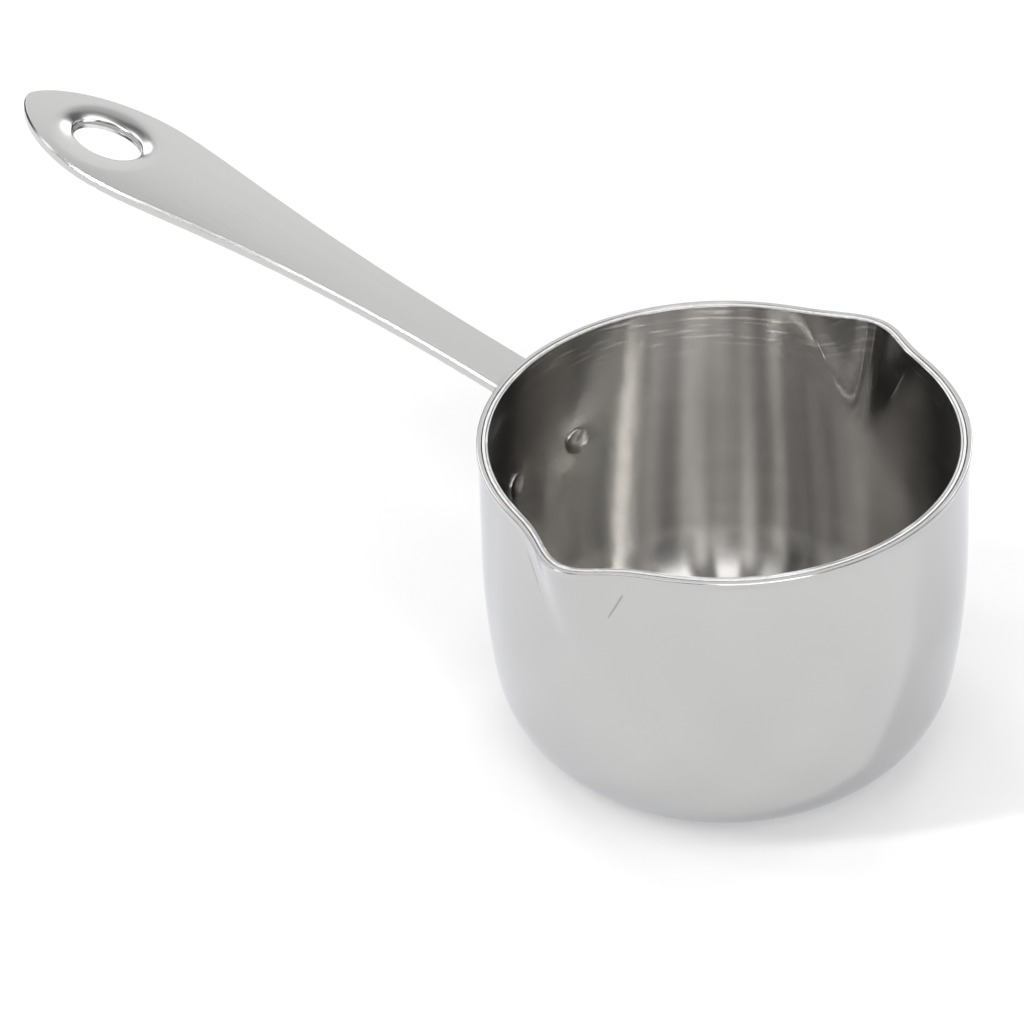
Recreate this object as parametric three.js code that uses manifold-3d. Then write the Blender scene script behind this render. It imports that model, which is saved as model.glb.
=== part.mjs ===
// A small melting pot for wax: a bowl of three-ply sheet with two pouring spouts, and a one-piece
// strap handle held by two rivets.
//
// Millimetres, +Z up. The origin is the centre of the flat underside. The handle runs along +X,
// and the spouts face +Y and -Y.

import * as THREE from "three";
import { mergeVertices } from "three/addons/utils/BufferGeometryUtils.js";
import Module from "manifold-3d";

const DEGREE = Math.PI / 180;

// The bowl
const POT_HEIGHT = 71;
const WALL_RADIUS = 49.7; // outside of the upright wall
const SIDE_ARC = { radius: 174, turn: 8.9 * DEGREE }; // the wall's slow curve inwards
const CORNER_ARC = { radius: 22.7, turn: 46 * DEGREE }; // each turn is counted from upright
const HEEL_ARC = { radius: 15, turn: 90 * DEGREE }; // the last curve, into the flat base

// The plies, as depths measured inwards from the outside of the wall
const SHELL_DEPTHS = { outside: 0, inside: 0.7 };
const CORE_DEPTHS = { outside: 0.9, inside: 1.5 };
const LINER_DEPTHS = { outside: 1.6, inside: 2.04 };

// The lip that the outer ply turns outwards at the rim
const LIP = { overhang: 0.3, height: 0.9, flare: 0.5 };

// The spouts: half-cones pressed into the wall, widest at the rim
const SPOUT_ANGLES = [90 * DEGREE, -90 * DEGREE];
const SPOUT_REACH = 4.8; // how far the rim moves outwards
const SPOUT_DIP = 0.9; // how far it moves down
const SPOUT_FOOT = 45; // height where the press mark ends
const SPOUT_SPREAD = 10.2 * DEGREE; // half-width of the bulge at the rim
const SPOUT_NARROWING = 0.6; // share of that width lost on the way down to the foot

// The handle: a flat strap along a path that goes up the wall, bends outwards and rises to the tip
const STRAP_THICKNESS = 2.2;
const SEAT_GAP = 0.3; // clearance between pieces that rest on each other
const PLATE_BOTTOM = 35.5; // height of the plate's lower edge
const BEND_START = 59.2; // height where the plate's top turns outwards
const BEND_RADIUS = 4; // of the strap's middle
const STRAP_RISE = 9.6 * DEGREE; // slope where the strap leaves the bend
const STRAP_DROOP = 2.9 * DEGREE; // how much of that slope is lost by the tip
const TIP_REACH = 191.4; // distance from the pot's axis to the tip

// The handle's outline, as half-widths
const PLATE_HALF_WIDTH = 16;
const PLATE_CORNER = 3.5;
const PLATE_TOP = 49; // height where the plate starts to narrow
const NECK_HALF_WIDTH = 5.9;
const NECK_END = 60; // distance from the pot's axis where the strap starts to widen
const PADDLE_HALF_WIDTH = 13.3;
const PADDLE_PEAK = 160.4; // distance from the pot's axis to the widest place
const TIP_POINTEDNESS = 0.635; // 0.5 is an ellipse
const SHOULDER_EASE = 6; // pull of the plate's shoulder curve at both its ends
const FLARE_EASE = { neck: 60, peak: 16 }; // pull of the paddle's curve at its ends

// The hanging hole
const HOLE_REACH = 168.0; // distance from the pot's axis to its middle
const HOLE_HALF_LENGTH = 9.0;
const HOLE_HALF_WIDTH = 5.3;

// The rivets
const RIVET_HEIGHT = 44.7;
const RIVET_ANGLE = 12.3 * DEGREE; // to each side of the handle
const SHANK_RADIUS = 1.6;
const INNER_HEAD = { radius: 3, height: 1 };
const OUTER_HEAD = { radius: 3.5, height: 1.3 };

// Mesh fineness
const TURN_STEPS = 48;
const ARC_STEPS = 4;
const SPOUT_ROWS = 5;
const STRAP_ROWS = 48;
const STRAP_COLUMNS = 6;
const ROW_CROWDING = 0.13; // how far the strap's rows are drawn towards its two ends
const TIP_STOP = 0.9995; // the last row's share of the length, where the tip still has a width
const HOLE_STEPS = 40;
const RIVET_STEPS = 16;
const CUTTER_MARGIN = 5; // how far a cutting shape goes on past what it cuts

const wasm = await Module();
wasm.setup();

const clamp01 = (value) => THREE.MathUtils.clamp(value, 0, 1);

// ---------------------------------------------------------------- joining and cutting

function toSolid(geometry) {
  const bare = geometry.clone();
  bare.deleteAttribute("normal");
  bare.deleteAttribute("uv");
  const merged = mergeVertices(bare, 1e-4);
  return new wasm.Manifold(
    new wasm.Mesh({
      numProp: 3,
      vertProperties: new Float32Array(merged.attributes.position.array),
      triVerts: new Uint32Array(merged.index.array),
    }),
  );
}

function toGeometry(solid) {
  const mesh = solid.getMesh();
  const geometry = new THREE.BufferGeometry();
  geometry.setAttribute("position", new THREE.BufferAttribute(mesh.vertProperties, 3));
  geometry.setIndex(new THREE.BufferAttribute(mesh.triVerts, 1));
  geometry.computeVertexNormals();
  return geometry;
}

function cut(geometry, tools) {
  const solid = tools.reduce((left, tool) => left.subtract(toSolid(tool)), toSolid(geometry));
  return toGeometry(solid);
}

// Moves every vertex of a geometry to the place that a function gives it.
function reshape(geometry, place) {
  const position = geometry.attributes.position;
  const point = new THREE.Vector3();
  for (let i = 0; i < position.count; i += 1) {
    place(point.fromBufferAttribute(position, i));
    position.setXYZ(i, point.x, point.y, point.z);
  }
  return geometry;
}

// ---------------------------------------------------------------- the bowl

// The bowl's section at a depth below its outer surface, from the edge of the flat base up to the
// height where the wall becomes straight. Points are (distance from the axis, height).
function bowlCurve(depth) {
  const arcs = [SIDE_ARC, CORNER_ARC, HEEL_ARC];
  const points = [];
  let radius = WALL_RADIUS - depth;
  let height = 0;
  let angle = 0;
  for (const arc of arcs) {
    const bend = arc.radius - depth;
    const centre = radius - bend * Math.cos(angle);
    const top = height + bend * Math.sin(angle);
    for (let step = points.length ? 1 : 0; step <= ARC_STEPS; step += 1) {
      const turned = angle + ((arc.turn - angle) * step) / ARC_STEPS;
      points.push(new THREE.Vector2(centre + bend * Math.cos(turned), top - bend * Math.sin(turned)));
    }
    ({ x: radius, y: height } = points.at(-1));
    angle = arc.turn;
  }
  const floor = height - depth;
  return points.map((point) => new THREE.Vector2(point.x, point.y - floor)).reverse();
}

// The bowl's side at a depth, from the axis to the rim. A lip turns its top outwards, and a side that
// only cuts goes on past the rim.
function bowlSide(depth, { lip = null, past = 0 }) {
  const curve = bowlCurve(depth);
  const start = curve.at(-1);
  const wallTop = lip ? POT_HEIGHT - lip.height : POT_HEIGHT;
  const side = [new THREE.Vector2(0, depth), ...curve];
  for (let row = 1; row <= SPOUT_ROWS; row += 1) {
    side.push(new THREE.Vector2(start.x, start.y + ((wallTop - start.y) * row) / SPOUT_ROWS));
  }
  if (lip) {
    side.push(new THREE.Vector2(start.x + lip.overhang, wallTop + lip.flare));
    side.push(new THREE.Vector2(start.x + lip.overhang, POT_HEIGHT));
  }
  if (past) {
    side.push(new THREE.Vector2(start.x, POT_HEIGHT + past));
  }
  return side;
}

// How strongly a spout acts at a height (0 at its foot, 1 at the rim) and at an angle.
function spoutStrength(height, angle) {
  const rise = clamp01((height - SPOUT_FOOT) / (POT_HEIGHT - SPOUT_FOOT));
  const spread = SPOUT_SPREAD * (1 - SPOUT_NARROWING * (1 - rise));
  const shares = SPOUT_ANGLES.map((spout) => {
    const off = Math.atan2(Math.sin(angle - spout), Math.cos(angle - spout));
    return Math.exp(-((off / spread) ** 2));
  });
  return rise * Math.max(...shares);
}

function pressSpouts(point) {
  const radius = Math.hypot(point.x, point.y);
  if (radius === 0) {
    return;
  }
  const strength = spoutStrength(point.z, Math.atan2(point.y, point.x));
  const pushed = (radius + SPOUT_REACH * strength) / radius;
  point.x *= pushed;
  point.y *= pushed;
  point.z -= SPOUT_DIP * strength;
}

// The bowl as one solid block, out to a depth below its outer surface.
function bowlBlock(depth, options) {
  const side = bowlSide(depth, options);
  const block = new THREE.LatheGeometry([...side, new THREE.Vector2(0, side.at(-1).y)], TURN_STEPS);
  block.rotateX(Math.PI / 2);
  return reshape(block, pressSpouts);
}

// A ply of the bowl: one block with a smaller one and the rivets' holes cut from it.
function plyGeometry(depths, lip) {
  const hollow = bowlBlock(depths.inside, { past: CUTTER_MARGIN });
  return cut(bowlBlock(depths.outside, { lip }), [hollow, ...rivetHoles()]);
}

// ---------------------------------------------------------------- the handle

const PLATE_MIDDLE = WALL_RADIUS + SEAT_GAP + STRAP_THICKNESS / 2;
const BEND_TURN = 90 * DEGREE - STRAP_RISE;
const PLATE_LENGTH = BEND_START - PLATE_BOTTOM;
const BEND_LENGTH = BEND_RADIUS * BEND_TURN;
const STRAP_START = PLATE_MIDDLE + BEND_RADIUS * (1 - Math.cos(BEND_TURN));
const STRAP_LENGTH = (TIP_REACH - STRAP_START) / Math.cos(STRAP_RISE - STRAP_DROOP / 2);
const HANDLE_LENGTH = PLATE_LENGTH + BEND_LENGTH + STRAP_LENGTH;

// The middle of the strap at a distance along it: place, and heading above the horizontal.
function strapPath(along) {
  if (along <= PLATE_LENGTH) {
    return { x: PLATE_MIDDLE, z: PLATE_BOTTOM + along, heading: 90 * DEGREE };
  }
  const turned = Math.min((along - PLATE_LENGTH) / BEND_RADIUS, BEND_TURN);
  const bendX = PLATE_MIDDLE + BEND_RADIUS * (1 - Math.cos(turned));
  const bendZ = BEND_START + BEND_RADIUS * Math.sin(turned);
  if (turned < BEND_TURN) {
    return { x: bendX, z: bendZ, heading: 90 * DEGREE - turned };
  }
  const run = along - PLATE_LENGTH - BEND_LENGTH;
  const heading = STRAP_RISE - (STRAP_DROOP * run) / STRAP_LENGTH;
  const chord = (STRAP_RISE + heading) / 2;
  return { x: bendX + run * Math.cos(chord), z: bendZ + run * Math.sin(chord), heading };
}

const shoulder = new THREE.CubicBezierCurve(
  new THREE.Vector2(PLATE_TOP, PLATE_HALF_WIDTH),
  new THREE.Vector2(PLATE_TOP + SHOULDER_EASE, PLATE_HALF_WIDTH),
  new THREE.Vector2(BEND_START - SHOULDER_EASE, NECK_HALF_WIDTH),
  new THREE.Vector2(BEND_START, NECK_HALF_WIDTH),
);
const flare = new THREE.CubicBezierCurve(
  new THREE.Vector2(NECK_END, NECK_HALF_WIDTH),
  new THREE.Vector2(NECK_END + FLARE_EASE.neck, NECK_HALF_WIDTH),
  new THREE.Vector2(PADDLE_PEAK - FLARE_EASE.peak, PADDLE_HALF_WIDTH),
  new THREE.Vector2(PADDLE_PEAK, PADDLE_HALF_WIDTH),
);

// The height of a curve that always runs to the right, at a given place.
function curveAt(curve, place) {
  let low = 0;
  let high = 1;
  for (let halving = 0; halving < 30; halving += 1) {
    const middle = (low + high) / 2;
    if (curve.getPoint(middle).x < place) {
      low = middle;
    } else {
      high = middle;
    }
  }
  return curve.getPoint(low).y;
}

function halfWidth(along) {
  const { x, z } = strapPath(along);
  if (along < PLATE_CORNER) {
    return PLATE_HALF_WIDTH - PLATE_CORNER + Math.sqrt(PLATE_CORNER ** 2 - (PLATE_CORNER - along) ** 2);
  }
  if (along <= PLATE_LENGTH) {
    return curveAt(shoulder, z);
  }
  if (x <= PADDLE_PEAK) {
    return curveAt(flare, x);
  }
  const beyond = Math.min((x - PADDLE_PEAK) / (TIP_REACH - PADDLE_PEAK), 1);
  return PADDLE_HALF_WIDTH * (1 - beyond ** 2) ** TIP_POINTEDNESS;
}

// Rows lie closer together towards both ends, where the outline turns quickest.
function alongOf(share) {
  const eased = share - ROW_CROWDING * Math.sin(2 * Math.PI * share);
  return eased * HANDLE_LENGTH * TIP_STOP;
}

// Bends a flat unit block (length x, width y, thickness z, each from -0.5 to 0.5) into the handle.
function bendHandle(point) {
  const along = alongOf(point.x + 0.5);
  const across = 2 * point.y * halfWidth(along);
  const lift = -point.z * STRAP_THICKNESS; // outwards on the plate, downwards on the strap
  const { x, z, heading } = strapPath(along);
  const wrap = clamp01((BEND_START - z) / (BEND_START - PLATE_TOP)) / PLATE_MIDDLE;
  const hug = wrap > 0 ? (1 / wrap + lift) * Math.cos(across * wrap) - 1 / wrap : lift;
  const side = wrap > 0 ? (1 / wrap + lift) * Math.sin(across * wrap) : across;
  point.set(x + hug * Math.sin(heading), side, z - hug * Math.cos(heading));
}

function hangingHole() {
  const tool = new THREE.CylinderGeometry(1, 1, STRAP_THICKNESS + 2 * CUTTER_MARGIN, HOLE_STEPS);
  tool.rotateX(Math.PI / 2);
  tool.scale(HOLE_HALF_LENGTH, HOLE_HALF_WIDTH, 1);
  const along = PLATE_LENGTH + BEND_LENGTH + (HOLE_REACH - STRAP_START) / Math.cos(STRAP_RISE);
  const { z, heading } = strapPath(along);
  tool.rotateY(-heading);
  tool.translate(HOLE_REACH, 0, z);
  return tool;
}

function handleGeometry() {
  const block = new THREE.BoxGeometry(1, 1, 1, STRAP_ROWS, STRAP_COLUMNS, 1);
  return cut(reshape(block, bendHandle), [hangingHole(), ...rivetHoles()]);
}

// ---------------------------------------------------------------- the rivets

// Turns a shape that stands along +Y so that it points outwards at a rivet's place.
function aimAtRivet(geometry, angle) {
  geometry.rotateZ(-Math.PI / 2);
  geometry.rotateZ(angle);
  geometry.translate(0, 0, RIVET_HEIGHT);
  return geometry;
}

function rivetHoles() {
  return [-RIVET_ANGLE, RIVET_ANGLE].map((angle) => {
    const radius = SHANK_RADIUS + SEAT_GAP;
    const drill = new THREE.CylinderGeometry(radius, radius, 4 * CUTTER_MARGIN, RIVET_STEPS);
    drill.translate(0, WALL_RADIUS, 0);
    return aimAtRivet(drill, angle);
  });
}

// The rounded cap of a head, from its edge to its crown. A negative height faces the other way.
function headArc(head, seat, height) {
  const points = [];
  for (let step = 0; step <= ARC_STEPS; step += 1) {
    const angle = (90 * DEGREE * step) / ARC_STEPS;
    const radius = step === ARC_STEPS ? 0 : head.radius * Math.cos(angle);
    points.push(new THREE.Vector2(radius, seat + height * Math.sin(angle)));
  }
  return points;
}

function rivetGeometry(angle) {
  const innerSeat = WALL_RADIUS - LINER_DEPTHS.inside - SEAT_GAP;
  const outerSeat = WALL_RADIUS + SEAT_GAP + STRAP_THICKNESS + SEAT_GAP;
  const section = [
    ...headArc(INNER_HEAD, innerSeat, -INNER_HEAD.height).reverse(),
    new THREE.Vector2(SHANK_RADIUS, innerSeat),
    new THREE.Vector2(SHANK_RADIUS, outerSeat),
    ...headArc(OUTER_HEAD, outerSeat, OUTER_HEAD.height),
  ];
  return aimAtRivet(new THREE.LatheGeometry(section, RIVET_STEPS), angle);
}

// ---------------------------------------------------------------- the assembly

const polishedSteel = { color: 0xc9c8c8, roughness: 0.08, metalness: 1 };
const brushedSteel = { color: 0xb9b6b2, roughness: 0.3, metalness: 1 };
const bareAluminium = { color: 0xd6d7d9, roughness: 0.45, metalness: 1 };
const satinSteel = { color: 0xc4c4c2, roughness: 0.22, metalness: 1 };

function piece(name, geometry, finish) {
  const mesh = new THREE.Mesh(geometry, new THREE.MeshStandardMaterial(finish));
  mesh.name = name;
  return mesh;
}

const bowl = new THREE.Group();
bowl.add(piece("outer_shell", plyGeometry(SHELL_DEPTHS, LIP), polishedSteel));
bowl.add(piece("aluminium_core", plyGeometry(CORE_DEPTHS), bareAluminium));
bowl.add(piece("inner_liner", plyGeometry(LINER_DEPTHS), brushedSteel));

const grip = new THREE.Group();
grip.add(piece("handle", handleGeometry(), satinSteel));
grip.add(piece("rivet_left", rivetGeometry(RIVET_ANGLE), polishedSteel));
grip.add(piece("rivet_right", rivetGeometry(-RIVET_ANGLE), polishedSteel));

const pot = new THREE.Group();
pot.add(bowl, grip);

export default pot;
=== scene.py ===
"""The look of a small candle melting pot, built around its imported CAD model.

Metres, +Z up. The handle runs along +X, and the two pouring spouts face +Y and -Y. Every visible
piece is a fine mesh that follows the CAD's own curves and stands for one CAD node.
"""

import math

import bpy
import numpy as np
from mathutils import Matrix, Vector


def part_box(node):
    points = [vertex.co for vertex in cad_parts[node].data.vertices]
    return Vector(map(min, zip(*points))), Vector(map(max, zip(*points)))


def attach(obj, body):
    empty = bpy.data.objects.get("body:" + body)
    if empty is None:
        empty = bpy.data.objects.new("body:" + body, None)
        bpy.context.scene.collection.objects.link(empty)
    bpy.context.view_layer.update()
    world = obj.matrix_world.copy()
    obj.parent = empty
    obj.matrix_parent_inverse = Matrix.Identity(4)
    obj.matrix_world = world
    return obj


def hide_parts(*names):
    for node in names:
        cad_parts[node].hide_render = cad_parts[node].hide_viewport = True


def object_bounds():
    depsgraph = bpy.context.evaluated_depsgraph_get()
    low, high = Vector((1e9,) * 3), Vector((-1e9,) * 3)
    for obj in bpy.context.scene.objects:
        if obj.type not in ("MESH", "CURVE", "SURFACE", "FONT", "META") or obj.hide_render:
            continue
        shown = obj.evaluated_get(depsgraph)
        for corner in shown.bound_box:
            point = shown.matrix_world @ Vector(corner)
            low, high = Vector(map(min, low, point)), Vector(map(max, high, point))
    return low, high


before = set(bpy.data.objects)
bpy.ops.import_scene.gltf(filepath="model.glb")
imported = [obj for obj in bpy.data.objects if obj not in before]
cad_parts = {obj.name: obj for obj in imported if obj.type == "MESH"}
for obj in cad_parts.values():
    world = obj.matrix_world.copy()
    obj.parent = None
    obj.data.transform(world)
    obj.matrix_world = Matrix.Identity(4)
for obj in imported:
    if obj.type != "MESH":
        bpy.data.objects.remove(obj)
cad_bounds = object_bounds()

MM = 0.001
DEGREE = math.pi / 180

# ---------------------------------------------------------------- driving dimensions

shell_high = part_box("outer_shell")[1]
handle_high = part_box("handle")[1]

# The bowl
LIP_OVERHANG = 0.3 * MM
POT_HEIGHT = shell_high.z
WALL_RADIUS = shell_high.x - LIP_OVERHANG
SIDE_ARC = (174 * MM, 8.9 * DEGREE)  # radius, and where the arc ends as a turn from upright
CORNER_ARC = (22.7 * MM, 46 * DEGREE)
HEEL_ARC = (15 * MM, 90 * DEGREE)

# The plies, as depths measured inwards from the outside of the wall
SHELL_DEPTHS = (0.0, 0.7 * MM)
CORE_DEPTHS = (0.9 * MM, 1.5 * MM)
LINER_DEPTHS = (1.6 * MM, 2.04 * MM)

# The rim
LIP_FOOT = 1.5 * MM  # how far below the rim the lip starts to turn out
LIP_FULL = 0.6 * MM  # how far below the rim it is fully out
LIP_ROUND = 0.22 * MM  # rounding of the lip's outer edge
CUT_ROUND = 0.07 * MM  # rounding of the plies' ground edges

# The spouts
SPOUT_REACH = 4.8 * MM
SPOUT_DIP = 0.9 * MM
SPOUT_FOOT = 45 * MM
SPOUT_SPREAD = 10.2 * DEGREE
SPOUT_NARROWING = 0.6
FOOT_EASE = 0.2  # share of the spout's height over which the press mark fades in

# The crease that the press leaves on each flank of a spout
CREASE_LOW = 55.5 * MM
CREASE_HIGH = 65 * MM
CREASE_ANGLE_LOW = 8 * DEGREE
CREASE_ANGLE_HIGH = 13.5 * DEGREE
CREASE_DEPTH = 0.34 * MM
CREASE_WIDTH = 0.16 * MM
CREASE_FADE_IN = 0.6  # share of its height over which it deepens
CREASE_END = 1.12  # share of its height at which it is gone again
RIDGE_SHARE = 0.3  # how much of the crease shows as a ridge inside
FOLD_DEPTH = 0.14 * MM  # the fold down the inside of each spout's middle
FOLD_WIDTH = 0.45 * MM
FOLD_FOOT = 54 * MM

# The handle
STRAP_THICKNESS = 2.2 * MM
SEAT_GAP = 0.3 * MM
PLATE_BOTTOM = 35.5 * MM
BEND_START = 59.2 * MM
BEND_RADIUS = 4 * MM
STRAP_RISE = 9.6 * DEGREE
STRAP_DROOP = 2.9 * DEGREE
TIP_REACH = handle_high.x - STRAP_THICKNESS / 2 * math.sin(STRAP_RISE - STRAP_DROOP)
PLATE_HALF_WIDTH = 16 * MM
PLATE_CORNER = 3.5 * MM
PLATE_TOP = 49 * MM
NECK_HALF_WIDTH = 5.9 * MM
NECK_END = 60 * MM
PADDLE_HALF_WIDTH = 13.3 * MM
PADDLE_PEAK = 160.4 * MM
TIP_POINTEDNESS = 0.635
SHOULDER_EASE = 6 * MM
NECK_EASE = 60 * MM
PEAK_EASE = 16 * MM
BEVEL = 0.4 * MM  # along the top edge
BACK_BEVEL = 0.15 * MM  # underneath
CRISP = 0.05 * MM  # from a corner to the row beside it that keeps the facets flat
CROWN = 0.5 * MM  # how far the paddle's sides lie below its middle

# The hanging hole, with an edge that is pressed down
HOLE_REACH = 168 * MM
HOLE_HALF_LENGTH = 9 * MM
HOLE_HALF_WIDTH = 5.3 * MM
HOLE_ROUND = 0.4 * MM  # on top
HOLE_BACK_ROUND = 0.2 * MM  # underneath
PRESS_DEPTH = 1.0 * MM  # how far the top is pressed down at the hole
PRESS_BACK_DEPTH = 1.0 * MM  # how far that pushes the underside down
PRESS_WIDTH = 5.5 * MM  # how far from the hole the press reaches
PRESS_POWER = 2  # how steeply it gathers at the hole
HOLE_MARGIN = 8 * MM  # from the hole to the last plain row of the strap
FAR = 1.0  # stands for any distance to the hole or the edge that is too large to matter

# The rivets
RIVET_HEIGHT = 44.7 * MM
RIVET_ANGLE = 12.3 * DEGREE
SHANK_RADIUS = 1.6 * MM
INNER_HEAD = (3 * MM, 0.5 * MM)  # radius and height
OUTER_HEAD = (3.5 * MM, 1.3 * MM)
EDGE_SHARE = 0.15  # share of the outer head's height that its edge stands up
DISH_SHARE = 0.9  # share of the inner head's height that its middle is punched in
HEAD_SINK = 0.12 * MM  # how far the outer head's flat seat sits into the curved plate
DIMPLE_DEPTH = 0.28 * MM
DIMPLE_WIDTH = 4.5 * MM

# The liner's scratches near the rim, whose glints are painted in as a lighter colour (painted
# highlights)
PAINTED_GLINT_FOOT = 58 * MM  # they thicken from this height up to the rim
PAINTED_GLINT_COLOR = (0.86, 0.85, 0.83)

# The camera
VIEW_AZIMUTH = 130.15 * DEGREE  # direction from the pot to the camera
VIEW_ELEVATION = 35.72 * DEGREE
VIEW_ROLL = -2.055 * DEGREE
VIEW_DISTANCE = 1.0423
LENS_MM = 180
LOOK_AT = Vector((33.04 * MM, 27.87 * MM, 54.2 * MM))

# The studio
FLOOR_SIZE = 4.0  # from its middle to each side
FLOOR_GAP = 0.02 * MM  # between it and the pot's base
FLOOR_GLOW = 0.2  # the floor is a faint light table
ROOM_LIGHT = 0.05
BOX_EDGE = 3  # degrees over which a soft box fades out
SOFT_BOXES = (  # degrees: azimuth, width, elevation, height; then strength
    (145, 40, 16, 24, 7.0),  # the key, low behind the camera
    (125, 14, 44, 28, 2.4),  # over the key
    (158, 18, 44, 34, 2.4),  # beside it
    (181, 7, 44, 34, 2.6),  # from here on, strips that streak the inside of the pot
    (207, 14, 44, 34, 2.0),
    (228, 6, 44, 34, 1.5),
    (250, 7, 44, 34, 4.0),
    (284, 13, 35, 16, 6.5),
    (331, 12, 35, 16, 5.5),
    (345, 14, 44, 34, 3.0),
    (24, 16, 44, 34, 2.6),
    (54, 5, 44, 34, 32.0),  # the bright strip, which also lines the strap's edge
    (61, 12, 44, 34, 1.0),
    (98, 12, 40, 40, 1.2),
    (306, 30, 25, 44, 1.05),  # the back box, which the strap and the rim reflect
    (306, 30, 54, 14, 0.6),  # its dimmer top, seen by the strap's near side
    (0, 360, 80, 20, 2.6),  # overhead
)

# Mesh fineness
FINE_SIDE = (16, 54, 8)  # steps in each arc, rows up the wall, rings on the flat base
PLAIN_SIDE = (8, 16, 4)
CORNER_STEPS = 4
FLANK_STEPS = 14  # columns from a spout's middle to its crease
WIDE_STEPS = 42  # columns from the crease to halfway between the spouts
HOLE_STEPS = 6
PLAIN_RINGS = 5
PRESS_RINGS = 14
STRAP_COLUMNS = 16
PLATE_CORNER_STEPS = 8
PLATE_ROWS = 30
BEND_ROWS = 15
STRAP_ROWS = 60
TIP_ROWS = 44
HEAD_STEPS = 8
RIVET_COLUMNS = 40
HALVINGS = 40


# ---------------------------------------------------------------- mesh helpers


def smooth_step(low, high, value):
    """0 below low, 1 above high, and an eased rise between them."""
    share = np.clip((value - low) / (high - low), 0, 1)
    return share * share * (3 - 2 * share)


def make_piece(name, points, faces, material, node):
    """A smooth-shaded mesh that rides on the pot and stands for one CAD node."""
    mesh = bpy.data.meshes.new(name)
    mesh.from_pydata([tuple(p) for p in points], [], faces)
    mesh.validate()
    mesh.polygons.foreach_set("use_smooth", [True] * len(mesh.polygons))
    mesh.materials.append(material)
    piece = bpy.data.objects.new(name, mesh)
    bpy.context.scene.collection.objects.link(piece)
    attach(piece, "root")
    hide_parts(node)


def quarter_turn(steps, start=0.0):
    """Angles from start to start plus 90 degrees."""
    return [start + 90 * DEGREE * step / steps for step in range(steps + 1)]


def lathe_faces(rows, columns):
    """Faces between neighbouring rings of a grid whose columns close on themselves."""
    faces = []
    for row in range(rows - 1):
        for column in range(columns):
            after = (column + 1) % columns
            low, high = row * columns, (row + 1) * columns
            faces.append((low + column, low + after, high + after, high + column))
    return faces


def fan_faces(centre, first, columns, flip):
    """Triangles from one centre point to a ring of a grid."""
    faces = []
    for column in range(columns):
        near, far = first + column, first + (column + 1) % columns
        faces.append((centre, far, near) if flip else (centre, near, far))
    return faces


# ---------------------------------------------------------------- the bowl


def bowl_curve(depth, steps):
    """The bowl's section at a depth, from the edge of the flat base up to the upright wall."""
    points = []
    radius, height, angle = WALL_RADIUS - depth, 0.0, 0.0
    for arc_radius, turn in (SIDE_ARC, CORNER_ARC, HEEL_ARC):
        bend = arc_radius - depth
        centre = radius - bend * math.cos(angle)
        top = height + bend * math.sin(angle)
        for step in range(1 if points else 0, steps + 1):
            turned = angle + (turn - angle) * step / steps
            points.append((centre + bend * math.cos(turned), top - bend * math.sin(turned)))
        radius, height = points[-1]
        angle = turn
    floor = height - depth
    return [(r, z - floor) for r, z in reversed(points)]


def bowl_side(depth, top, fine):
    """The section of one side of a ply, from near the axis up to a height."""
    arc_steps, wall_rows, flat_rings = FINE_SIDE if fine else PLAIN_SIDE
    curve = bowl_curve(depth, arc_steps)
    flat_radius = curve[0][0]
    flat = [(flat_radius * ring / flat_rings, depth) for ring in range(1, flat_rings)]
    start_radius, start_height = curve[-1]
    rise = (top - start_height) / wall_rows
    wall = [(start_radius, start_height + rise * row) for row in range(1, wall_rows)]
    return flat + curve + wall


def lip_push(height):
    """How far the lip stands out from the wall at a height."""
    return LIP_OVERHANG * smooth_step(POT_HEIGHT - LIP_FOOT, POT_HEIGHT - LIP_FULL, height)


def outer_corner(radius, rounding):
    """The rounded edge between a ply's outside and its top."""
    return [
        (radius - rounding * (1 - math.cos(turn)), POT_HEIGHT - rounding * (1 - math.sin(turn)))
        for turn in quarter_turn(CORNER_STEPS)
    ]


def inner_corner(radius, rounding):
    """The rounded edge between a ply's top and its inside."""
    return [
        (radius + rounding * (1 + math.cos(turn)), POT_HEIGHT - rounding * (1 - math.sin(turn)))
        for turn in quarter_turn(CORNER_STEPS, 90 * DEGREE)
    ]


def ply_sides(depths, fine, lip_round=0.0):
    """A ply's section in two halves: its outside with the outer edge, and its inside going down."""
    fine_outside, fine_inside = fine
    rounding = lip_round or CUT_ROUND
    outside = bowl_side(depths[0], POT_HEIGHT - rounding, fine_outside)
    inside = bowl_side(depths[1], POT_HEIGHT - CUT_ROUND, fine_inside)
    outer_radius = WALL_RADIUS - depths[0]
    if lip_round:
        outside = [(r + lip_push(z), z) for r, z in outside]
        outer_radius += LIP_OVERHANG
    outside += outer_corner(outer_radius, rounding)
    inside = inner_corner(WALL_RADIUS - depths[1], CUT_ROUND) + inside[::-1]
    return outside, inside


def spout_rise(height):
    """How far up a spout a height is, from 0 at its foot to 1 at the rim, eased in at the foot."""
    share = np.clip((height - SPOUT_FOOT) / (POT_HEIGHT - SPOUT_FOOT), 0, 1)
    eased = np.where(share < FOOT_EASE, share**2 / (2 * FOOT_EASE), share - FOOT_EASE / 2)
    return eased / (1 - FOOT_EASE / 2)


def spout_strength(height, off):
    """How strongly a spout acts at a height and at an angle off its middle."""
    rise = spout_rise(height)
    spread = SPOUT_SPREAD * (1 - SPOUT_NARROWING * (1 - rise))
    return rise * np.exp(-((off / spread) ** 2))


def crease_angle(height):
    """How far off a spout's middle its press crease runs, at a height."""
    slope = (CREASE_ANGLE_HIGH - CREASE_ANGLE_LOW) / (CREASE_HIGH - CREASE_LOW)
    return CREASE_ANGLE_LOW + slope * max(height - CREASE_LOW, 0)


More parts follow.
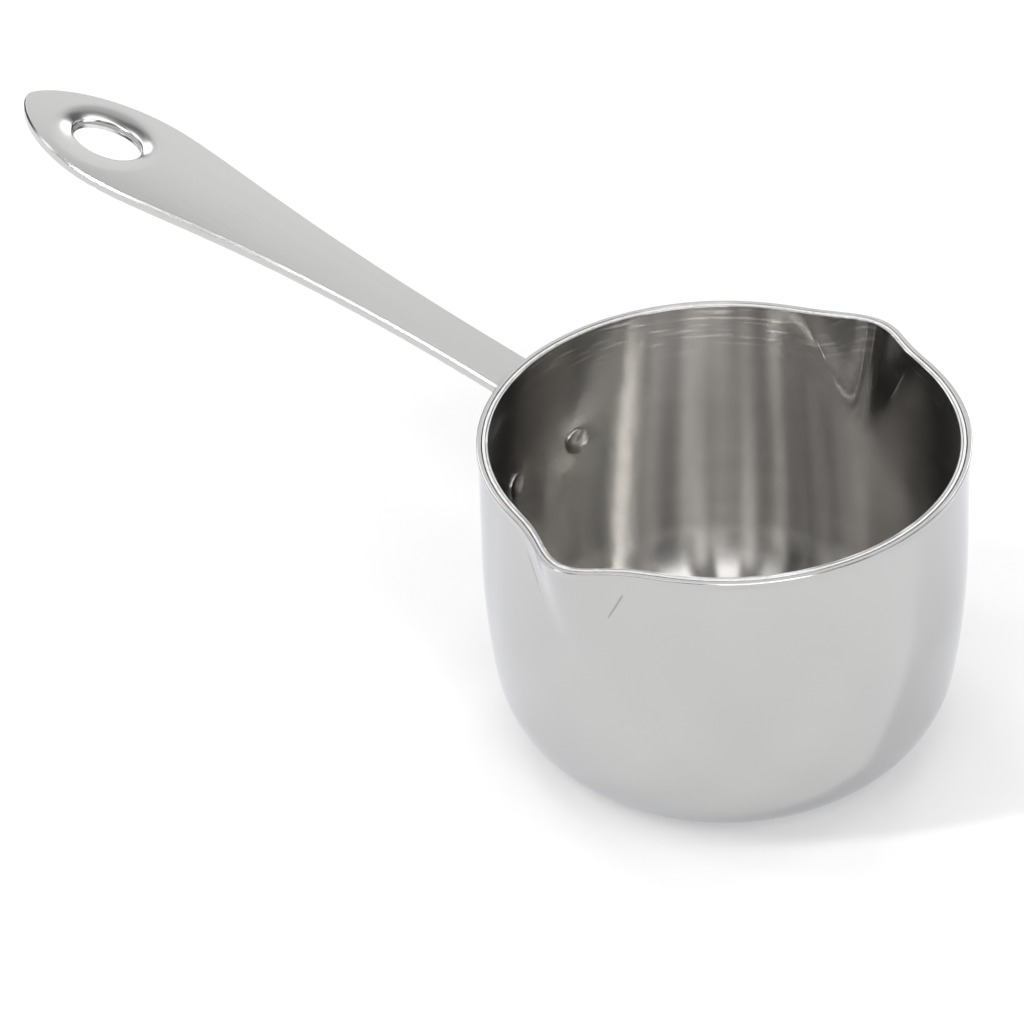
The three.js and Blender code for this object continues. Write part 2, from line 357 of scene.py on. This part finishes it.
def crease_cut(height, off):
    """Depth of the crease: deepest near its top, gone at its foot and under the rim."""
    share = (height - CREASE_LOW) / (CREASE_HIGH - CREASE_LOW)
    fade = smooth_step(0, CREASE_FADE_IN, share) * (1 - smooth_step(1.0, CREASE_END, share))
    apart = (off - crease_angle(height)) * WALL_RADIUS
    return CREASE_DEPTH * fade * np.exp(-((apart / CREASE_WIDTH) ** 2))


def fold_cut(height, off):
    """Depth of the fold inside a spout: sharp in the middle, fading in above its foot."""
    fade = smooth_step(FOLD_FOOT, CREASE_HIGH, height)
    return FOLD_DEPTH * fade * np.exp(-off * WALL_RADIUS / FOLD_WIDTH)


def column_angles(height):
    """Angles of the lathe's columns at a height. They gather along the folds and creases."""
    crease = crease_angle(height)
    beside_fold = [0.015, 0.035]
    flank = [step / FLANK_STEPS for step in range(1, FLANK_STEPS - 1)]
    beside_crease = [0.96, 0.975, 0.99, 1.0, 1.01, 1.025, 1.04]
    quarter = [crease * share for share in beside_fold + flank + beside_crease]
    gap = (90 * DEGREE - quarter[-1]) / WIDE_STEPS
    quarter += [quarter[-1] + gap * step for step in range(1, WIDE_STEPS)]
    half = [-off for off in reversed(quarter)] + [0.0] + quarter + [90 * DEGREE]
    return np.array([spout + off for spout in (90 * DEGREE, 270 * DEGREE) for off in half])


def off_spout(angle):
    """The angle between a direction and the nearer spout's middle."""
    return np.abs(angle % (180 * DEGREE) - 90 * DEGREE)


def rivet_dimple(angle, height):
    """How far the riveting has drawn the wall outwards at a place."""
    total = 0.0
    for rivet in (-RIVET_ANGLE, RIVET_ANGLE):
        off = np.arctan2(np.sin(angle - rivet), np.cos(angle - rivet)) * WALL_RADIUS
        apart = np.hypot(off, height - RIVET_HEIGHT)
        total = total + DIMPLE_DEPTH * np.exp(-((apart / DIMPLE_WIDTH) ** 2))
    return total


def ply_ring(radius, height, crease_share, lined):
    """One ring of a ply, with both spouts pressed into it. The liner's has folds and dimples."""
    angle = column_angles(height)
    off = off_spout(angle)
    strength = spout_strength(height, off)
    pushed = radius + SPOUT_REACH * strength
    pushed = pushed - crease_share * crease_cut(height, off)
    if lined:
        pushed = pushed + fold_cut(height, off) + rivet_dimple(angle, height)
    lowered = height - SPOUT_DIP * strength
    return list(zip(pushed * np.cos(angle), pushed * np.sin(angle), lowered))


def ply_mesh(sides, outer_crease=0.0, lined=False):
    """Turns a ply's section into a closed bowl."""
    outside, inside = sides
    points = []
    for radius, height in outside:
        points += ply_ring(radius, height, outer_crease, False)
    for radius, height in inside:
        points += ply_ring(radius, height, RIDGE_SHARE if lined else 0.0, lined)
    columns = len(column_angles(0))
    rows = len(outside) + len(inside)
    faces = lathe_faces(rows, columns)
    for row, flip in ((0, True), (rows - 1, False)):
        centre = (0, 0, points[row * columns][2])
        points.append(centre)
        faces += fan_faces(len(points) - 1, row * columns, columns, flip)
    return points, faces


def add_shell():
    sides = ply_sides(SHELL_DEPTHS, (True, False), LIP_ROUND)
    points, faces = ply_mesh(sides, outer_crease=1.0)
    make_piece("pot_shell", points, faces, polished_steel(), "outer_shell")


def add_core():
    points, faces = ply_mesh(ply_sides(CORE_DEPTHS, (False, False)))
    make_piece("pot_core", points, faces, ground_aluminium(), "aluminium_core")


def add_liner():
    points, faces = ply_mesh(ply_sides(LINER_DEPTHS, (False, True)), lined=True)
    make_piece("pot_liner", points, faces, brushed_liner(), "inner_liner")


# ---------------------------------------------------------------- the handle's path and outline

PLATE_MIDDLE = WALL_RADIUS + SEAT_GAP + STRAP_THICKNESS / 2
BEND_TURN = 90 * DEGREE - STRAP_RISE
PLATE_LENGTH = BEND_START - PLATE_BOTTOM
BEND_LENGTH = BEND_RADIUS * BEND_TURN
STRAP_START = PLATE_MIDDLE + BEND_RADIUS * (1 - math.cos(BEND_TURN))
STRAP_LENGTH = (TIP_REACH - STRAP_START) / math.cos(STRAP_RISE - STRAP_DROOP / 2)
HANDLE_LENGTH = PLATE_LENGTH + BEND_LENGTH + STRAP_LENGTH


def strap_path(along):
    """The strap's middle at a distance along it: place outwards, height, and heading."""
    if along <= PLATE_LENGTH:
        return PLATE_MIDDLE, PLATE_BOTTOM + along, 90 * DEGREE
    turned = min((along - PLATE_LENGTH) / BEND_RADIUS, BEND_TURN)
    bend_x = PLATE_MIDDLE + BEND_RADIUS * (1 - math.cos(turned))
    bend_z = BEND_START + BEND_RADIUS * math.sin(turned)
    if turned < BEND_TURN:
        return bend_x, bend_z, 90 * DEGREE - turned
    run = along - PLATE_LENGTH - BEND_LENGTH
    heading = STRAP_RISE - STRAP_DROOP * run / STRAP_LENGTH
    chord = (STRAP_RISE + heading) / 2
    return bend_x + run * math.cos(chord), bend_z + run * math.sin(chord), heading


def halving_search(low, high, is_past):
    """The place between low and high where is_past turns true."""
    for _ in range(HALVINGS):
        middle = (low + high) / 2
        low, high = (low, middle) if is_past(middle) else (middle, high)
    return low


def eased_between(place, start, end, start_ease, end_ease):
    """Height of a cubic curve at a place: level at both ends, with a pull of its own at each."""
    x0, y0 = start
    x3, y3 = end
    x1, x2 = x0 + start_ease, x3 - end_ease

    def reach(t):
        return (1 - t) ** 3 * x0 + 3 * (1 - t) ** 2 * t * x1 + 3 * (1 - t) * t * t * x2 + t**3 * x3

    t = halving_search(0.0, 1.0, lambda t: reach(t) > place)
    return y0 + (y3 - y0) * (3 * t * t - 2 * t**3)


def half_width(along):
    """Half the strap's width at a distance along it."""
    x, z, _ = strap_path(along)
    if along < PLATE_CORNER:
        corner = math.sqrt(PLATE_CORNER**2 - (PLATE_CORNER - along) ** 2)
        return PLATE_HALF_WIDTH - PLATE_CORNER + corner
    if along <= PLATE_LENGTH:
        ends = (PLATE_TOP, PLATE_HALF_WIDTH), (BEND_START, NECK_HALF_WIDTH)
        return eased_between(max(z, PLATE_TOP), *ends, SHOULDER_EASE, SHOULDER_EASE)
    if x <= PADDLE_PEAK:
        ends = (NECK_END, NECK_HALF_WIDTH), (PADDLE_PEAK, PADDLE_HALF_WIDTH)
        return eased_between(max(x, NECK_END), *ends, NECK_EASE, PEAK_EASE)
    beyond = min((x - PADDLE_PEAK) / (TIP_REACH - PADDLE_PEAK), 1)
    return PADDLE_HALF_WIDTH * (1 - beyond**2) ** TIP_POINTEDNESS


HOLE_ALONG = halving_search(0.0, HANDLE_LENGTH, lambda along: strap_path(along)[0] > HOLE_REACH)
PLAIN_END = HOLE_ALONG - HOLE_HALF_LENGTH - HOLE_MARGIN
TIP_STOP = halving_search(0.0, HANDLE_LENGTH, lambda along: strap_path(along)[0] >= TIP_REACH)


def bend_point(along, across, lift):
    """Bends a point of the flat strap into place. Lift is its height above the strap's middle."""
    x, z, heading = strap_path(along)
    wrap = min(max((BEND_START - z) / (BEND_START - PLATE_TOP), 0), 1) / PLATE_MIDDLE
    hug, side = -lift, across
    if wrap > 0:
        hug = (1 / wrap - lift) * math.cos(across * wrap) - 1 / wrap
        side = (1 / wrap - lift) * math.sin(across * wrap)
    return x + hug * math.sin(heading), side, z - hug * math.cos(heading)


# ---------------------------------------------------------------- the handle's mesh


def row_places():
    """Distances along the strap of its plain rows, closer together where it turns."""
    corner = [PLATE_CORNER * (1 - math.cos(turn)) for turn in quarter_turn(PLATE_CORNER_STEPS)]
    plate = list(np.linspace(PLATE_CORNER, PLATE_LENGTH, PLATE_ROWS)[1:])
    bend = list(np.linspace(PLATE_LENGTH, PLATE_LENGTH + BEND_LENGTH, BEND_ROWS)[1:])
    strap = list(np.linspace(PLATE_LENGTH + BEND_LENGTH, PLAIN_END, STRAP_ROWS)[1:])
    return corner + plate + bend + strap


def tip_places():
    """Distances along the strap from the plain rows' end to the tip, closer towards the tip."""
    turns = quarter_turn(TIP_ROWS)[1:]
    return [PLAIN_END + (TIP_STOP - PLAIN_END) * math.sin(turn) for turn in turns]


def outline():
    """The strap's flat outline: up its left side, round the tip, down its right side, and back."""
    places = row_places() + tip_places()[:-1]
    left = [(along, half_width(along)) for along in places]
    right = [(along, -across) for along, across in reversed(left)]
    corner = half_width(0.0)
    shares = [2 * step / STRAP_COLUMNS - 1 for step in range(1, STRAP_COLUMNS)]
    bottom = [(0.0, corner * share) for share in shares]
    return np.array(left + [(TIP_STOP, 0.0)] + right + bottom)


def inset(loop, distance):
    """Moves a closed flat loop to its right, square to itself."""
    ahead = np.roll(loop, -1, axis=0) - loop
    behind = loop - np.roll(loop, 1, axis=0)
    ahead /= np.linalg.norm(ahead, axis=1)[:, None]
    behind /= np.linalg.norm(behind, axis=1)[:, None]
    tangent = ahead + behind
    tangent /= np.linalg.norm(tangent, axis=1)[:, None]
    return loop + distance * np.stack([tangent[:, 1], -tangent[:, 0]], axis=1)


def rounding_insets(radius, steps):
    """Distances from an edge where the rows of its rounding lie."""
    return [radius * (1 - math.cos(turn)) for turn in quarter_turn(steps)]


def sink(distance, radius):
    """How far a surface has dropped at a distance inside an edge that is rounded to a radius."""
    missing = 1 - min(distance / radius, 1)
    return radius * (1 - math.sqrt(1 - missing**2))


def crowned(along, across):
    """How far the strap's crown, which grows towards the paddle, has dropped at a place."""
    grown = smooth_step(PLATE_LENGTH + BEND_LENGTH, PLAIN_END, along)
    return CROWN * grown * (across / PADDLE_HALF_WIDTH) ** 2


def pressed(to_hole, depth):
    """How far the press has pushed a surface down at a distance from the hole."""
    return depth * max(1 - to_hole / PRESS_WIDTH, 0) ** PRESS_POWER


class FlatSheet:
    """The strap's flat layout: points with their distances to the outline and to the hole."""

    def __init__(self):
        self.points = []
        self.faces = []

    def add_loop(self, loop, to_edge=FAR, to_hole=FAR):
        first = len(self.points)
        self.points += [(along, across, to_edge, to_hole) for along, across in loop]
        return list(range(first, len(self.points)))

    def join_loops(self, outer, inner, closed=True):
        count = len(outer)
        for i in range(count if closed else count - 1):
            j = (i + 1) % count
            self.faces.append((outer[i], outer[j], inner[j], inner[i]))


def hole_loop(facing, distance):
    """The hole's edge moved out by a distance, with one point facing each given point."""
    away = np.array(facing) - (HOLE_ALONG, 0)
    turn = np.arctan2(away[:, 1] / HOLE_HALF_WIDTH, away[:, 0] / HOLE_HALF_LENGTH)
    along, across = np.cos(turn), np.sin(turn)
    square = np.stack([along / HOLE_HALF_LENGTH, across / HOLE_HALF_WIDTH], axis=1)
    square /= np.linalg.norm(square, axis=1)[:, None]
    edge = np.stack([HOLE_ALONG + HOLE_HALF_LENGTH * along, HOLE_HALF_WIDTH * across], axis=1)
    return edge + distance * square


def flat_handle():
    """Lays the strap out flat: its bevelled edge, its plain rows, and the rings round the hole."""
    sheet = FlatSheet()
    loop = outline()
    edge = None
    for distance in (0, CRISP, BEVEL - CRISP, BEVEL, BEVEL + CRISP):
        inner = sheet.add_loop(inset(loop, distance), to_edge=distance)
        if edge:
            sheet.join_loops(edge, inner)
        else:
            rim = inner
        edge = inner
    rows = len(row_places())
    tip = rows + len(tip_places()) - 1
    bottom = edge[2 * tip + 1 :]
    row = [edge[2 * tip]] + bottom + [edge[0]]
    for number in range(1, rows):
        left, right = edge[number], edge[2 * tip - number]
        ends = np.array([sheet.points[right][:2], sheet.points[left][:2]])
        shares = [step / STRAP_COLUMNS for step in range(1, STRAP_COLUMNS)]
        between = [ends[0] + (ends[1] - ends[0]) * share for share in shares]
        following = [right] + sheet.add_loop(between) + [left]
        sheet.join_loops(row, following, closed=False)
        row = following
    round_hole = edge[rows - 1 : 2 * tip - rows + 2] + row[1:-1]
    return sheet, rim, add_hole_rings(sheet, round_hole)


def add_hole_rings(sheet, around):
    """Rings from a loop of the layout inwards to the hole's edge. Returns the edge's ring."""
    start = np.array([sheet.points[i][:2] for i in around])
    end = hole_loop(start, PRESS_WIDTH)
    ring = around
    for number in range(1, PLAIN_RINGS):
        inner = sheet.add_loop(start + (end - start) * number / PLAIN_RINGS)
        sheet.join_loops(ring, inner)
        ring = inner
    slope = list(np.linspace(HOLE_ROUND, PRESS_WIDTH, PRESS_RINGS)[1:])
    for distance in reversed(rounding_insets(HOLE_ROUND, HOLE_STEPS) + slope):
        inner = sheet.add_loop(hole_loop(start, distance), to_hole=distance)
        sheet.join_loops(ring, inner)
        ring = inner
    return ring


def wall_faces(upper, lower, flip):
    """Faces between two matching closed loops."""
    faces = []
    for wall in zip(upper, upper[1:] + upper[:1], lower[1:] + lower[:1], lower):
        faces.append(wall[::-1] if flip else wall)
    return faces


def handle_mesh():
    """Lifts the flat layout to the strap's top and bottom, bends both into place and joins them."""
    sheet, rim, hole = flat_handle()
    half = STRAP_THICKNESS / 2
    top, bottom = [], []
    for along, across, to_edge, to_hole in sheet.points:
        crown = crowned(along, across)
        above = max(BEVEL - to_edge, 0) + sink(to_hole, HOLE_ROUND)
        above += crown + pressed(to_hole, PRESS_DEPTH)
        below = max(BACK_BEVEL - to_edge, 0) + sink(to_hole, HOLE_BACK_ROUND)
        below -= crown + pressed(to_hole, PRESS_BACK_DEPTH)
        top.append(bend_point(along, across, half - above))
        bottom.append(bend_point(along, across, below - half))
    count = len(top)
    points = top + bottom
    faces = [face[::-1] for face in sheet.faces]
    faces += [tuple(i + count for i in face) for face in sheet.faces]
    upper = rim
    for lift in (half - BEVEL - CRISP, BACK_BEVEL + CRISP - half):
        lower = list(range(len(points), len(points) + len(rim)))
        for along, across, _, _ in (sheet.points[i] for i in rim):
            points.append(bend_point(along, across, lift - crowned(along, across)))
        faces += wall_faces(upper, lower, True)
        upper = lower
    faces += wall_faces(upper, [i + count for i in rim], True)
    faces += wall_faces(hole, [i + count for i in hole], False)
    return points, faces


def add_handle():
    points, faces = handle_mesh()
    make_piece("strap_handle", points, faces, satin_steel(), "handle")


# ---------------------------------------------------------------- the rivets


def outer_head(seat):
    """The domed head's section from its edge to its crown: (distance from the axis, reach)."""
    radius, height = OUTER_HEAD
    dome = [
        (radius * math.cos(turn), seat + height * (EDGE_SHARE + (1 - EDGE_SHARE) * math.sin(turn)))
        for turn in quarter_turn(HEAD_STEPS)
    ]
    return [(radius, seat)] + dome


def inner_head(seat):
    """The flattened head's section from its punched middle to its edge."""
    radius, height = INNER_HEAD
    dish = [
        (radius * math.cos(turn), seat - height * (1 - DISH_SHARE * math.sin(turn) ** 2))
        for turn in quarter_turn(HEAD_STEPS)
    ]
    return dish[::-1] + [(radius, seat)]


def rivet_mesh(angle):
    """A set rivet: its two heads on a shank that points straight out from the pot's axis."""
    inner_seat = WALL_RADIUS - LINER_DEPTHS[1] + DIMPLE_DEPTH
    outer_seat = WALL_RADIUS + SEAT_GAP + STRAP_THICKNESS - HEAD_SINK
    shank = [(SHANK_RADIUS, inner_seat), (SHANK_RADIUS, outer_seat)]
    section = inner_head(inner_seat) + shank + outer_head(outer_seat)
    crowns = section[0][1], section[-1][1]
    section = section[1:-1]
    outwards = Vector((math.cos(angle), math.sin(angle), 0))
    sideways = Vector((-math.sin(angle), math.cos(angle), 0))
    middle = Vector((0, 0, RIVET_HEIGHT))
    points = []
    for radius, reach in section:
        for column in range(RIVET_COLUMNS):
            turn = 360 * DEGREE * column / RIVET_COLUMNS
            spoke = sideways * math.cos(turn) + Vector((0, 0, 1)) * math.sin(turn)
            points.append(middle + outwards * reach + spoke * radius)
    faces = lathe_faces(len(section), RIVET_COLUMNS)
    for reach, row, flip in ((crowns[0], 0, True), (crowns[1], len(section) - 1, False)):
        points.append(middle + outwards * reach)
        faces += fan_faces(len(points) - 1, row * RIVET_COLUMNS, RIVET_COLUMNS, flip)
    return points, faces


def add_rivets():
    material = rivet_steel()
    for name, angle in (("rivet_left", RIVET_ANGLE), ("rivet_right", -RIVET_ANGLE)):
        points, faces = rivet_mesh(angle)
        make_piece(f"{name}_set", points, faces, material, name)


# ---------------------------------------------------------------- material helpers


class Surface:
    """A metal surface under construction: its node tree and its main shader."""

    def __init__(self, name, color, roughness):
        self.material = bpy.data.materials.new(name)
        self.material.use_nodes = True
        self.tree = self.material.node_tree
        self.shader = self.tree.nodes["Principled BSDF"]
        self.shader.inputs["Metallic"].default_value = 1.0
        self.shader.inputs["Base Color"].default_value = (*color, 1)
        self.shader.inputs["Roughness"].default_value = roughness
        self.place = self.tree.nodes.new("ShaderNodeTexCoord").outputs["Object"]

    def node(self, kind, inputs=None, **settings):
        made = self.tree.nodes.new(kind)
        for key, value in settings.items():
            setattr(made, key, value)
        for key, value in (inputs or {}).items():
            if isinstance(value, bpy.types.NodeSocket):
                self.tree.links.new(value, made.inputs[key])
            else:
                made.inputs[key].default_value = value
        return made

    def math(self, operation, first, second=0.0):
        return self.node("ShaderNodeMath", {0: first, 1: second}, operation=operation).outputs[0]

    def stretched(self, stretch):
        """The place on the object, stretched by a factor along each axis."""
        return self.node("ShaderNodeMapping", {"Vector": self.place, "Scale": stretch}).outputs[0]

    def turned(self, around, along):
        """Coordinates of marks that run round the pot's axis: angle, and height less radius."""
        parts = self.node("ShaderNodeSeparateXYZ", {0: self.place}).outputs
        angle = self.math("ARCTAN2", parts[1], parts[0])
        squares = [self.math("MULTIPLY", part, part) for part in (parts[0], parts[1])]
        radius = self.math("SQRT", self.math("ADD", *squares))
        run = self.math("SUBTRACT", parts[2], radius)
        return self.node("ShaderNodeCombineXYZ", {
            0: self.math("MULTIPLY", angle, around),
            1: self.math("MULTIPLY", run, along),
        }).outputs[0]

    def noise(self, vector, scale=1.0, detail=2.0):
        inputs = {"Vector": vector, "Scale": scale, "Detail": detail}
        return self.node("ShaderNodeTexNoise", inputs).outputs[0]

    def spread(self, value, low, high, start=0.3, end=0.7):
        """Spreads a noise value, mostly between start and end, over a range."""
        made = self.node("ShaderNodeMapRange", {0: value, 1: start, 2: end, 3: low, 4: high})
        return made.outputs[0]

    def tint(self, share, dark, light):
        """A colour between two. The first may be another node's colour."""
        start = dark if isinstance(dark, bpy.types.NodeSocket) else (*dark, 1)
        inputs = {0: share, 6: start, 7: (*light, 1)}
        return self.node("ShaderNodeMix", inputs, data_type="RGBA").outputs[2]

    def set(self, socket, value):
        if isinstance(value, bpy.types.NodeSocket):
            self.tree.links.new(value, self.shader.inputs[socket])
        else:
            self.shader.inputs[socket].default_value = value

    def bump(self, height, strength, distance):
        inputs = {"Height": height, "Strength": strength, "Distance": distance}
        self.set("Normal", self.node("ShaderNodeBump", inputs).outputs[0])

    def tangent_round(self):
        """Runs the brushing round the pot's axis."""
        made = self.node("ShaderNodeTangent", direction_type="RADIAL", axis="Z")
        self.set("Tangent", made.outputs[0])


# ---------------------------------------------------------------- the finishes


def polished_steel():
    """Mirror-polished steel with faint buffing marks and smudges."""
    surface = Surface("polished_steel", (0.515, 0.515, 0.51), 0.07)
    smudge = surface.noise(surface.place, scale=38, detail=4)
    buffing = surface.noise(surface.turned(2, 2600), scale=1, detail=3)
    surface.set("Roughness", surface.spread(smudge, 0.06, 0.13))
    surface.set("Base Color", surface.tint(smudge, (0.5, 0.5, 0.495), (0.53, 0.53, 0.525)))
    surface.bump(buffing, 0.03, 0.02 * MM)
    surface.set("Specular Tint", (0.96, 0.965, 1.0, 1))
    return surface.material


def ground_aluminium():
    """The cut edge of the middle ply, ground flat."""
    surface = Surface("ground_aluminium", (0.83, 0.83, 0.84), 0.3)
    grinding = surface.noise(surface.turned(30, 9000), scale=1, detail=3)
    surface.set("Roughness", surface.spread(grinding, 0.22, 0.4))
    surface.set("Base Color", surface.tint(grinding, (0.74, 0.74, 0.75), (0.88, 0.88, 0.89)))
    surface.bump(grinding, 0.2, 0.02 * MM)
    return surface.material


def brushed_liner():
    """Steel brushed round the bowl, which spreads highlights up and down, with scratches near the
    rim whose glints are painted in as lighter colour.
    """
    surface = Surface("brushed_liner", (0.52, 0.51, 0.495), 0.18)
    brushing = surface.noise(surface.turned(2.5, 2200), scale=1, detail=2)
    bands = surface.noise(surface.turned(1.2, 260), scale=1, detail=3)
    surface.set("Roughness", surface.spread(bands, 0.165, 0.2))
    brushed = surface.tint(brushing, (0.495, 0.485, 0.47), (0.545, 0.535, 0.52))
    height = surface.node("ShaderNodeSeparateXYZ", {0: surface.place}).outputs[2]
    near_rim = surface.spread(height, 0, 1, PAINTED_GLINT_FOOT, POT_HEIGHT)
    # Painted highlights: streaks near the rim are lightened towards a pale colour to stand in for
    # the glints of its scratches
    glint_streaks = surface.spread(surface.noise(surface.turned(5, 1100), detail=1), 0, 1, 0.55, 0.68)
    painted_glints = surface.math("MULTIPLY", near_rim, glint_streaks)
    surface.set("Base Color", surface.tint(painted_glints, brushed, PAINTED_GLINT_COLOR))
    surface.bump(brushing, 0.1, 0.01 * MM)
    surface.tangent_round()
    surface.set("Anisotropic", 1.0)
    surface.set("Anisotropic Rotation", 0.25)
    return surface.material


def satin_steel():
    """Steel with a soft satin grain along the handle."""
    surface = Surface("satin_steel", (0.555, 0.555, 0.55), 0.2)
    grain = surface.noise(surface.stretched((25, 1500, 60)), scale=1, detail=2)
    clouds = surface.noise(surface.place, scale=45, detail=3)
    surface.set("Roughness", surface.spread(clouds, 0.18, 0.22))
    surface.set("Base Color", surface.tint(grain, (0.54, 0.54, 0.535), (0.57, 0.57, 0.565)))
    surface.bump(grain, 0.03, 0.005 * MM)
    return surface.material


def rivet_steel():
    """Polished rivet heads with small knocks from setting."""
    surface = Surface("rivet_steel", (0.5, 0.49, 0.475), 0.2)
    knocks = surface.noise(surface.place, scale=900, detail=3)
    surface.set("Roughness", surface.spread(knocks, 0.16, 0.26))
    surface.set("Base Color", surface.tint(knocks, (0.46, 0.45, 0.435), (0.54, 0.53, 0.515)))
    surface.bump(knocks, 0.15, 0.04 * MM)
    return surface.material


# ---------------------------------------------------------------- the studio


def direction(azimuth, elevation):
    """The unit vector that points to an azimuth and an elevation."""
    flat = math.cos(elevation)
    return Vector((flat * math.cos(azimuth), flat * math.sin(azimuth), math.sin(elevation)))


class Sky:
    """The world's node tree under construction, with the direction that a ray looks in."""

    def __init__(self, tree):
        self.tree = tree
        self.heading = tree.nodes.new("ShaderNodeTexCoord").outputs["Generated"]
        self.elevation = self.math("ARCSINE", self.along(Vector((0, 0, 1))))

    def math(self, operation, *values):
        made = self.tree.nodes.new("ShaderNodeMath")
        made.operation = operation
        for socket, value in zip(made.inputs, values):
            if isinstance(value, bpy.types.NodeSocket):
                self.tree.links.new(value, socket)
            else:
                socket.default_value = value
        return made.outputs[0]

    def along(self, axis):
        """How far the ray's direction reaches along an axis."""
        made = self.tree.nodes.new("ShaderNodeVectorMath")
        made.operation = "DOT_PRODUCT"
        self.tree.links.new(self.heading, made.inputs[0])
        made.inputs[1].default_value = axis
        return made.outputs["Value"]

    def off_azimuth(self, azimuth):
        """How far round from an azimuth the ray looks."""
        ahead = self.along(direction(azimuth, 0))
        left = self.along(direction(azimuth + 90 * DEGREE, 0))
        return self.math("ABSOLUTE", self.math("ARCTAN2", left, ahead))

    def within(self, angle, half):
        """1 where an angle is inside a soft box's half size, fading to 0 outside."""
        made = self.tree.nodes.new("ShaderNodeMapRange")
        made.interpolation_type = "SMOOTHSTEP"
        self.tree.links.new(angle, made.inputs["Value"])
        made.inputs["From Min"].default_value = (half - BOX_EDGE / 2) * DEGREE
        made.inputs["From Max"].default_value = (half + BOX_EDGE / 2) * DEGREE
        made.inputs["To Min"].default_value = 1
        made.inputs["To Max"].default_value = 0
        return made.outputs["Result"]


def add_floor():
    mesh = bpy.data.meshes.new("floor")
    signs = ((-1, -1), (1, -1), (1, 1), (-1, 1))
    corners = [(FLOOR_SIZE * x, FLOOR_SIZE * y, 0) for x, y in signs]
    mesh.from_pydata(corners, [], [(0, 1, 2, 3)])
    surface = Surface("floor", (0.7, 0.7, 0.7), 0.8)
    surface.set("Metallic", 0.0)
    surface.set("Specular IOR Level", 0.1)
    grain = surface.noise(surface.place, scale=300, detail=2)
    surface.set("Base Color", surface.tint(grain, (0.695, 0.695, 0.695), (0.705, 0.705, 0.705)))
    surface.set("Emission Color", (1, 1, 1, 1))
    surface.set("Emission Strength", FLOOR_GLOW)
    mesh.materials.append(surface.material)
    floor = bpy.data.objects.new("floor", mesh)
    floor.location.z = cad_bounds[0].z - FLOOR_GAP
    bpy.context.scene.collection.objects.link(floor)


def add_studio():
    """A dim room with soft boxes round the pot. The camera sees a plain white backdrop instead."""
    world = bpy.data.worlds.new("studio")
    bpy.context.scene.world = world
    world.use_nodes = True
    sky = Sky(world.node_tree)
    total = ROOM_LIGHT
    for azimuth, width, elevation, height, strength in SOFT_BOXES:
        beside = sky.off_azimuth(azimuth * DEGREE)
        above = sky.math("ABSOLUTE", sky.math("SUBTRACT", sky.elevation, elevation * DEGREE))
        share = sky.math("MULTIPLY", sky.within(beside, width / 2), sky.within(above, height / 2))
        total = sky.math("MULTIPLY_ADD", share, strength, total)
    seen = sky.tree.nodes.new("ShaderNodeLightPath").outputs["Is Camera Ray"]
    background = sky.tree.nodes["Background"]
    sky.tree.links.new(sky.math("MAXIMUM", total, seen), background.inputs["Strength"])
    background.inputs["Color"].default_value = (1, 1, 1, 1)
    bpy.context.scene.view_settings.view_transform = "Standard"


def add_camera():
    data = bpy.data.cameras.new("camera")
    data.lens = LENS_MM
    camera = bpy.data.objects.new("camera", data)
    back = direction(VIEW_AZIMUTH, VIEW_ELEVATION)
    place = Matrix.Translation(LOOK_AT + back * VIEW_DISTANCE)
    level = back.to_track_quat("Z", "Y").to_matrix().to_4x4()
    camera.matrix_world = place @ level @ Matrix.Rotation(VIEW_ROLL, 4, "Z")
    bpy.context.scene.collection.objects.link(camera)
    bpy.context.scene.camera = camera


add_camera()
add_shell()
add_core()
add_liner()
add_handle()
add_rivets()
add_floor()
add_studio()
